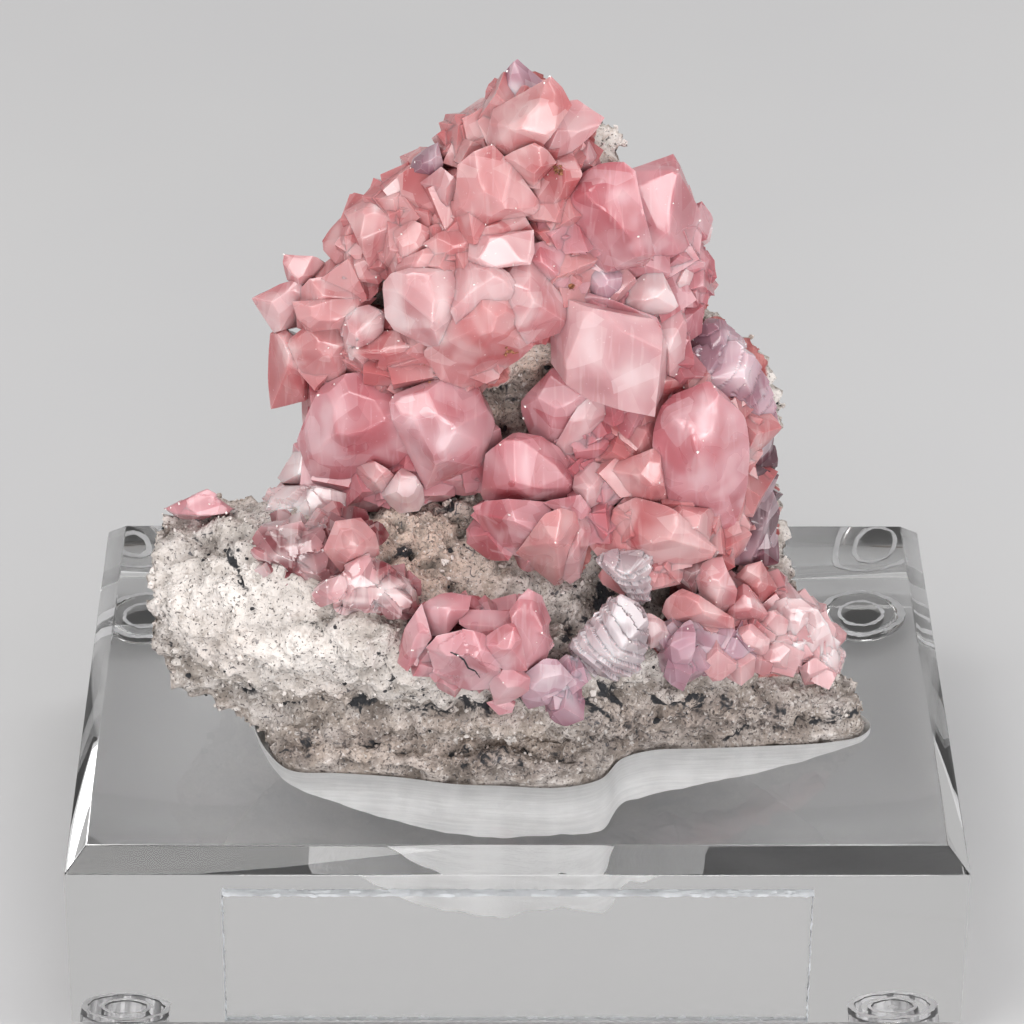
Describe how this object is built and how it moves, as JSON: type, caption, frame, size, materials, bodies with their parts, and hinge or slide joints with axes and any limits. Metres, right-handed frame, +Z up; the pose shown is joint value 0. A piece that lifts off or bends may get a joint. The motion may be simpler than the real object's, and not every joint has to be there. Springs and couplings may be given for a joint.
{
  "type": "smithsonite mineral specimen on an acrylic display base",
  "caption": "Pink translucent smithsonite crystals on pale matrix rock, standing in a pocket ground into a bevelled clear acrylic block with bumper feet and a bare front label plate.",
  "frame": {"origin": "middle of the footprint, on the surface that the feet rest on", "axes": "+Z up, +X to the right of the crystal face, the crystals and the label plate face -Y"},
  "size_m": [0.084, 0.0622, 0.0891],
  "materials": {
    "acrylic": "polished clear acrylic, the ground pocket frosted white",
    "label_acrylic": "clear sheet with rough saw-cut edges, bare",
    "foot_rubber": "clear soft bumper feet",
    "matrix_rock": "rough matte pale limestone-like rock with grey and black specks",
    "pink_smithsonite": "translucent satin salmon pink crystal",
    "mauve_smithsonite": "translucent satin mauve crystal",
    "pearly_smithsonite": "pearly pale lilac cleaved crystal"
  },
  "bodies": {
    "root": {"acrylic_block": "acrylic", "label_plate": "label_acrylic", "foot_front_left": "foot_rubber", "foot_front_right": "foot_rubber", "foot_back_right": "foot_rubber", "foot_back_left": "foot_rubber", "matrix_rock": "matrix_rock", "crown_crystals": "pink_smithsonite", "keystone_crystals": "pink_smithsonite", "left_crystals": "pink_smithsonite", "twin_crystals": "pink_smithsonite", "pendant_crystals": "pink_smithsonite", "square_crystals": "pink_smithsonite", "pair_crystals": "pink_smithsonite", "fan_crystals": "pink_smithsonite", "egg_crystals": "pink_smithsonite", "edge_crystals_upper": "mauve_smithsonite", "edge_crystals_lower": "mauve_smithsonite", "corner_crystals": "pink_smithsonite", "lilac_crystals": "mauve_smithsonite", "small_crystal": "pink_smithsonite", "flaky_crystals": "pearly_smithsonite", "cleaved_crystal": "pearly_smithsonite", "mauve_crystal": "mauve_smithsonite", "rose_crystals": "pink_smithsonite", "shelf_crystals": "pink_smithsonite", "shelf_druse": "pink_smithsonite", "salmon_crystal": "pink_smithsonite", "broken_crystals": "pink_smithsonite", "lobe_crystal": "pink_smithsonite"}
  },
  "joints": []
}
